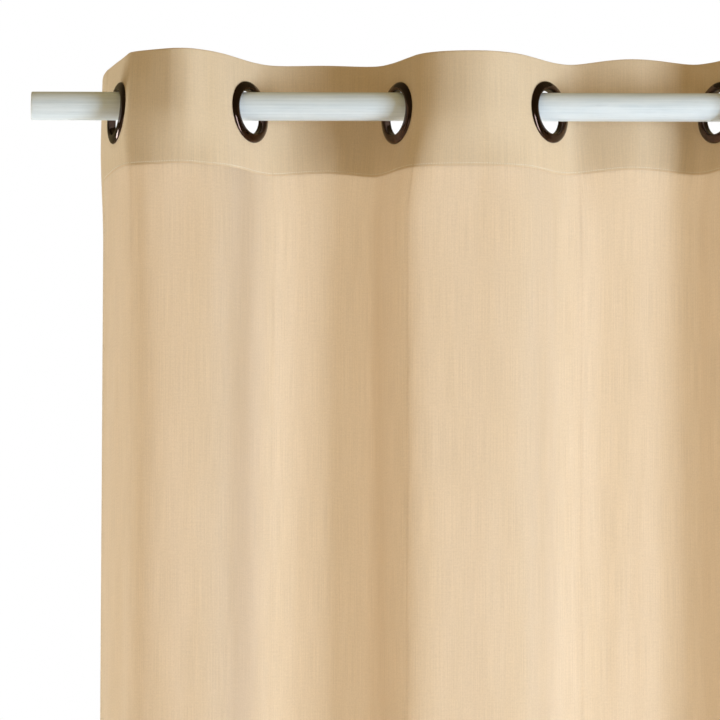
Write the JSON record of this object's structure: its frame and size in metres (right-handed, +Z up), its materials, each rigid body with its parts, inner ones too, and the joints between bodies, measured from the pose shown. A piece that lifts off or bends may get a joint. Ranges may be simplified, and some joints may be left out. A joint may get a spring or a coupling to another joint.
{
  "type": "eyelet curtain on a pole",
  "caption": "Full-length cotton curtain panel hanging in waves from metal eyelets on a white-washed wooden pole held by two wall brackets; it folds together along the pole.",
  "frame": {"origin": "middle of the left wall plate's back face, on the wall", "axes": "+X to the right along the pole, +Y into the wall (the room is on -Y), +Z up"},
  "size_m": [1.2035, 0.1875, 2.5],
  "materials": {
    "sand_cotton": "plain linen-look weave, matt",
    "heading_interlining": "stiff white buckram behind the heading, faced with cloth",
    "dark_bronze": "polished dark bronze plating",
    "white_washed_wood": "white-washed, fine straight grain",
    "white_painted_metal": "satin white",
    "zinc_plated_steel": "zinc plated"
  },
  "bodies": {
    "wall_brackets": {"left_wall_plate": "white_painted_metal", "left_arm_and_cup": "white_painted_metal", "left_upper_wall_screw": "zinc_plated_steel", "left_lower_wall_screw": "zinc_plated_steel", "right_wall_plate": "white_painted_metal", "right_arm_and_cup": "white_painted_metal", "right_upper_wall_screw": "zinc_plated_steel", "right_lower_wall_screw": "zinc_plated_steel"},
    "left_clamp": {"left_clamp_screw": "zinc_plated_steel"},
    "right_clamp": {"right_clamp_screw": "zinc_plated_steel"},
    "pole": {"pole": "white_washed_wood"},
    "pleat_1": {"curtain_panel_1": "sand_cotton", "heading_cloth_1": "sand_cotton", "heading_facing_1": "heading_interlining", "eyelet_front_1": "dark_bronze", "eyelet_back_1": "dark_bronze"},
    "pleat_2": {"curtain_panel_2": "sand_cotton", "heading_cloth_2": "sand_cotton", "heading_facing_2": "heading_interlining", "eyelet_front_2": "dark_bronze", "eyelet_back_2": "dark_bronze"},
    "pleat_3": {"curtain_panel_3": "sand_cotton", "heading_cloth_3": "sand_cotton", "heading_facing_3": "heading_interlining", "eyelet_front_3": "dark_bronze", "eyelet_back_3": "dark_bronze"},
    "pleat_4": {"curtain_panel_4": "sand_cotton", "heading_cloth_4": "sand_cotton", "heading_facing_4": "heading_interlining", "eyelet_front_4": "dark_bronze", "eyelet_back_4": "dark_bronze"},
    "pleat_5": {"curtain_panel_5": "sand_cotton", "heading_cloth_5": "sand_cotton", "heading_facing_5": "heading_interlining", "eyelet_front_5": "dark_bronze", "eyelet_back_5": "dark_bronze"},
    "pleat_6": {"curtain_panel_6": "sand_cotton", "heading_cloth_6": "sand_cotton", "heading_facing_6": "heading_interlining", "eyelet_front_6": "dark_bronze", "eyelet_back_6": "dark_bronze"},
    "pleat_7": {"curtain_panel_7": "sand_cotton", "heading_cloth_7": "sand_cotton", "heading_facing_7": "heading_interlining", "eyelet_front_7": "dark_bronze", "eyelet_back_7": "dark_bronze"},
    "pleat_8": {"curtain_panel_8": "sand_cotton", "heading_cloth_8": "sand_cotton", "heading_facing_8": "heading_interlining", "eyelet_front_8": "dark_bronze", "eyelet_back_8": "dark_bronze"}
  },
  "joints": [
    {"name": "lift_pole_out", "type": "slide", "parent": "wall_brackets", "child": "pole", "axis": [0, 0, 1], "range_m": [0, 0.035]},
    {"name": "turn_left_clamp", "type": "hinge", "parent": "wall_brackets", "child": "left_clamp", "pos_m": [0, -0.125, -0.022], "axis": [0, 0, 1], "continuous": true},
    {"name": "turn_right_clamp", "type": "hinge", "parent": "wall_brackets", "child": "right_clamp", "pos_m": [1.068, -0.125, -0.022], "axis": [0, 0, 1], "continuous": true},
    {"name": "draw_curtain", "type": "hinge", "parent": "pole", "child": "pleat_1", "pos_m": [-0.024, -0.125, 0], "axis": [0, 0, -1], "range_deg": [0, 22]},
    {"name": "fold_at_crest_1", "type": "hinge", "parent": "pleat_1", "child": "pleat_2", "pos_m": [0.0395, -0.187, 0], "axis": [0, 0, -1], "range_deg": [-44, 0]},
    {"name": "fold_at_crest_2", "type": "hinge", "parent": "pleat_2", "child": "pleat_3", "pos_m": [0.1755, -0.079, 0], "axis": [0, 0, -1], "range_deg": [0, 44]},
    {"name": "fold_at_crest_3", "type": "hinge", "parent": "pleat_3", "child": "pleat_4", "pos_m": [0.321, -0.18, 0], "axis": [0, 0, -1], "range_deg": [-44, 0]},
    {"name": "fold_at_crest_4", "type": "hinge", "parent": "pleat_4", "child": "pleat_5", "pos_m": [0.47675, -0.099, 0], "axis": [0, 0, -1], "range_deg": [0, 44]},
    {"name": "fold_at_crest_5", "type": "hinge", "parent": "pleat_5", "child": "pleat_6", "pos_m": [0.63125, -0.177, 0], "axis": [0, 0, -1], "range_deg": [-44, 0]},
    {"name": "fold_at_crest_6", "type": "hinge", "parent": "pleat_6", "child": "pleat_7", "pos_m": [0.773, -0.08, 0], "axis": [0, 0, -1], "range_deg": [0, 44]},
    {"name": "fold_at_crest_7", "type": "hinge", "parent": "pleat_7", "child": "pleat_8", "pos_m": [0.9105, -0.183, 0], "axis": [0, 0, -1], "range_deg": [-44, 0]}
  ],
  "couplings": [
    {"joint": "fold_at_crest_1", "follows": "draw_curtain", "ratio": -2},
    {"joint": "fold_at_crest_2", "follows": "draw_curtain", "ratio": 2},
    {"joint": "fold_at_crest_3", "follows": "draw_curtain", "ratio": -2},
    {"joint": "fold_at_crest_4", "follows": "draw_curtain", "ratio": 2},
    {"joint": "fold_at_crest_5", "follows": "draw_curtain", "ratio": -2},
    {"joint": "fold_at_crest_6", "follows": "draw_curtain", "ratio": 2},
    {"joint": "fold_at_crest_7", "follows": "draw_curtain", "ratio": -2}
  ]
}
